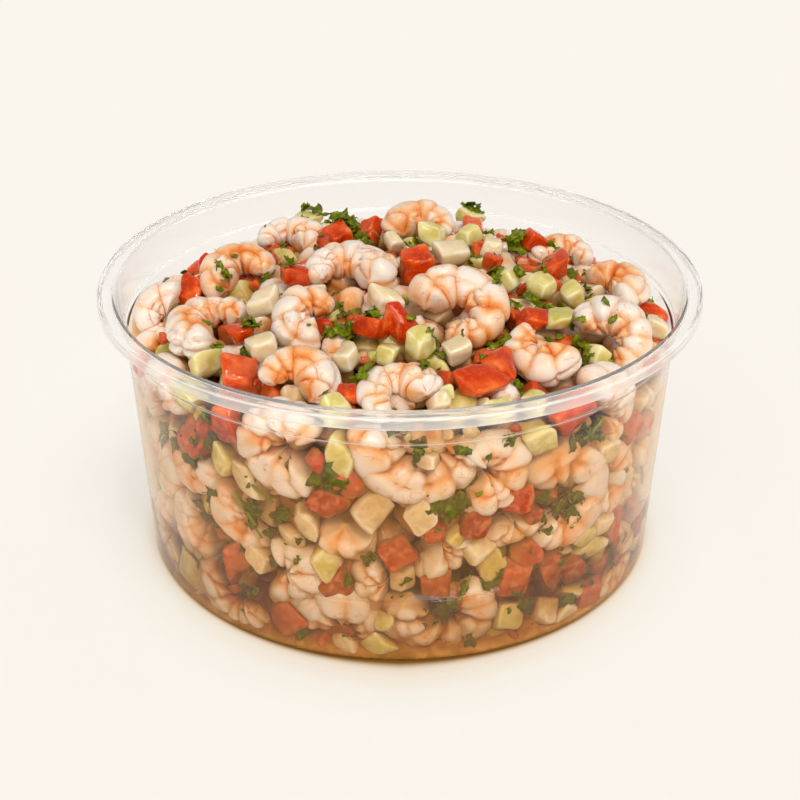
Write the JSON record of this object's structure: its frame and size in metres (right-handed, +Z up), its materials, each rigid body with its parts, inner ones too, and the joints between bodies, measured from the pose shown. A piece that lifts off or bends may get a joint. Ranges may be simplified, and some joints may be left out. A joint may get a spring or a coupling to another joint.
{
  "type": "shrimp ceviche in a clear tub",
  "caption": "Shrimp ceviche with diced tomato, cucumber, onion and chopped cilantro, heaped in a round clear plastic tub.",
  "frame": {"origin": "centre of the tub's flat underside", "axes": "+Z up along the tub's axis, -Y is the front"},
  "size_m": [0.117, 0.117, 0.0642],
  "materials": {
    "clear_plastic": "clear, glossy, moulded",
    "juice": "cloudy, wet",
    "salad": "moist, mixed chopped food",
    "shrimp": "moist, cooked flesh with orange-pink bands",
    "tomato": "moist, juicy flesh",
    "cucumber": "moist, translucent",
    "onion": "moist, translucent",
    "cilantro": "moist leaf"
  },
  "bodies": {
    "root": {"tub": "clear_plastic", "juice": "juice", "ceviche": "salad", "shrimp_01": "shrimp", "shrimp_02": "shrimp", "shrimp_03": "shrimp", "shrimp_04": "shrimp", "shrimp_05": "shrimp", "shrimp_06": "shrimp", "shrimp_07": "shrimp", "shrimp_08": "shrimp", "shrimp_09": "shrimp", "shrimp_10": "shrimp", "shrimp_11": "shrimp", "shrimp_12": "shrimp", "shrimp_13": "shrimp", "shrimp_14": "shrimp", "tomato_01": "tomato", "tomato_02": "tomato", "tomato_03": "tomato", "tomato_04": "tomato", "tomato_05": "tomato", "cucumber_01": "cucumber", "cucumber_02": "cucumber", "onion_01": "onion"}
  },
  "joints": []
}
